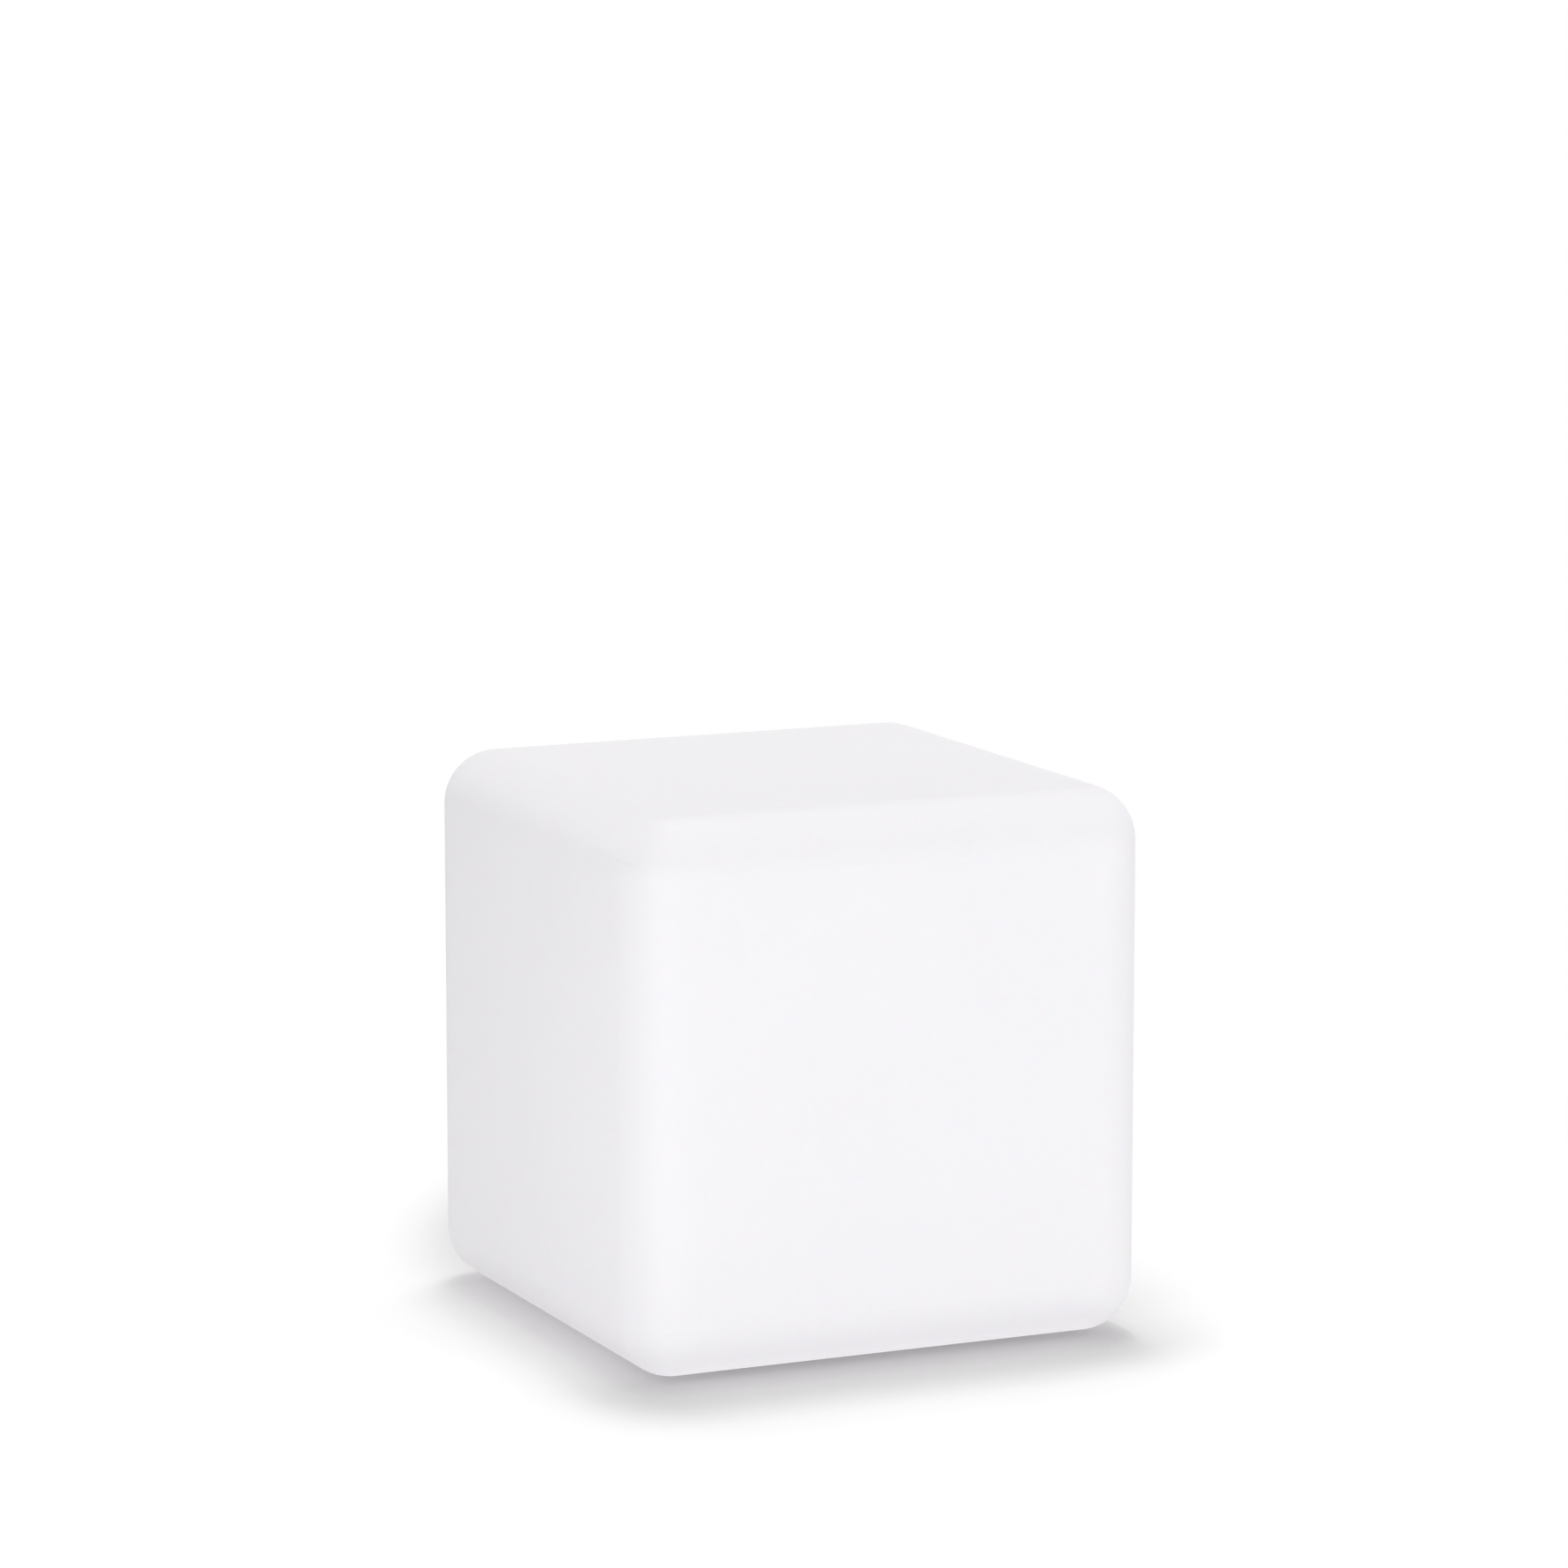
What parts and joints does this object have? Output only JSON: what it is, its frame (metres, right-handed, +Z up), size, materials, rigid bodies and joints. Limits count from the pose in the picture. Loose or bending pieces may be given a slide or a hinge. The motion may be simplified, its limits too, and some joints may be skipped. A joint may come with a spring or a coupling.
{
  "type": "cube floor lamp",
  "caption": "White rounded plastic cube lamp that stands on the ground, with a bulb inside on a screwed-in base tray and a cable gland underneath.",
  "frame": {"origin": "on the ground, under the middle of the cube: the bottom centre of the bounding box", "axes": "+Z up; the pictured large face is the front at -Y, the other visible side is at -X, and the cord groove runs out under the back edge at +Y"},
  "size_m": [0.4, 0.4, 0.404],
  "materials": {
    "shell_plastic": "translucent white rotomoulded polyethylene, satin, with faint mould marks",
    "tray_plastic": "light grey moulded polypropylene, fine texture",
    "gasket_rubber": "black sealing rubber",
    "foot_rubber": "dark grey rubber",
    "stainless_steel": "bright stainless steel",
    "zinc_steel": "zinc-plated steel",
    "brass": "turned brass",
    "contact_bronze": "bright spring bronze",
    "gland_plastic": "mid grey polyamide",
    "holder_plastic": "white glossy thermoplastic",
    "holder_core_plastic": "off-white ceramic-filled plastic",
    "terminal_plastic": "natural polyamide",
    "lead_brown": "brown silicone insulation",
    "lead_blue": "blue silicone insulation",
    "bulb_metal": "nickel-plated, bright",
    "bulb_insulator": "black glass-like insulator",
    "bulb_plastic": "white satin plastic",
    "bulb_opal": "opal diffuser",
    "led_board": "white-lacquered aluminium board",
    "led_phosphor": "yellow phosphor",
    "circuit_board": "green board with black and silver components"
  },
  "bodies": {
    "base": {"base_tray": "tray_plastic", "base_gasket": "gasket_rubber", "base_screws": "stainless_steel", "screw_washers": "stainless_steel", "foot_front_left": "foot_rubber", "foot_front_right": "foot_rubber", "foot_back_left": "foot_rubber", "foot_back_right": "foot_rubber", "gland_body": "gland_plastic", "gland_washer": "gasket_rubber", "gland_locknut": "gland_plastic", "holder_bracket": "zinc_steel", "bracket_screws": "zinc_steel", "holder_nipple": "zinc_steel", "nipple_nut": "zinc_steel", "toothed_washer": "zinc_steel", "holder_cap": "holder_plastic", "holder_core": "holder_core_plastic", "holder_terminals": "brass", "holder_terminal_screws": "zinc_steel", "centre_contact": "contact_bronze", "side_contact": "contact_bronze", "holder_sleeve": "holder_plastic", "terminal_block": "terminal_plastic", "terminal_clamps": "brass", "terminal_screws": "zinc_steel", "block_screw": "zinc_steel", "lead_live": "lead_brown", "lead_neutral": "lead_blue"},
    "shell": {"cube_shell": "shell_plastic", "shell_inserts": "brass"},
    "gland_sleeve": {"gland_seal": "gasket_rubber"},
    "gland_nut": {"gland_dome_nut": "gland_plastic"},
    "bulb_tip": {"bulb_tip_contact": "bulb_metal"},
    "bulb": {"bulb_cap": "bulb_metal", "bulb_insulator": "bulb_insulator", "bulb_housing": "bulb_plastic", "bulb_driver": "circuit_board", "bulb_led_board": "led_board", "bulb_leds": "led_phosphor", "bulb_globe": "bulb_opal"}
  },
  "joints": [
    {"name": "shell_lift", "type": "slide", "parent": "base", "child": "shell", "axis": [0, 0, 1], "range_m": [0, 0.26]},
    {"name": "bulb_rise", "type": "slide", "parent": "base", "child": "bulb_tip", "axis": [0, 0, 1], "range_m": [0, 0.0182]},
    {"name": "bulb_turn", "type": "hinge", "parent": "bulb_tip", "child": "bulb", "pos_m": [0, 0, 0.14], "axis": [0, 0, 1], "range_deg": [0, 1800]},
    {"name": "gland_drop", "type": "slide", "parent": "base", "child": "gland_sleeve", "axis": [0, 0, -1], "range_m": [0, 0.0046]},
    {"name": "gland_turn", "type": "hinge", "parent": "gland_sleeve", "child": "gland_nut", "pos_m": [0, 0.028, 0.04], "axis": [0, 0, -1], "range_deg": [0, 1080]}
  ],
  "couplings": [
    {"joint": "bulb_rise", "follows": "bulb_turn", "m_per_rad": 0.0005775},
    {"joint": "gland_drop", "follows": "gland_turn", "m_per_rad": 0.00023873}
  ]
}
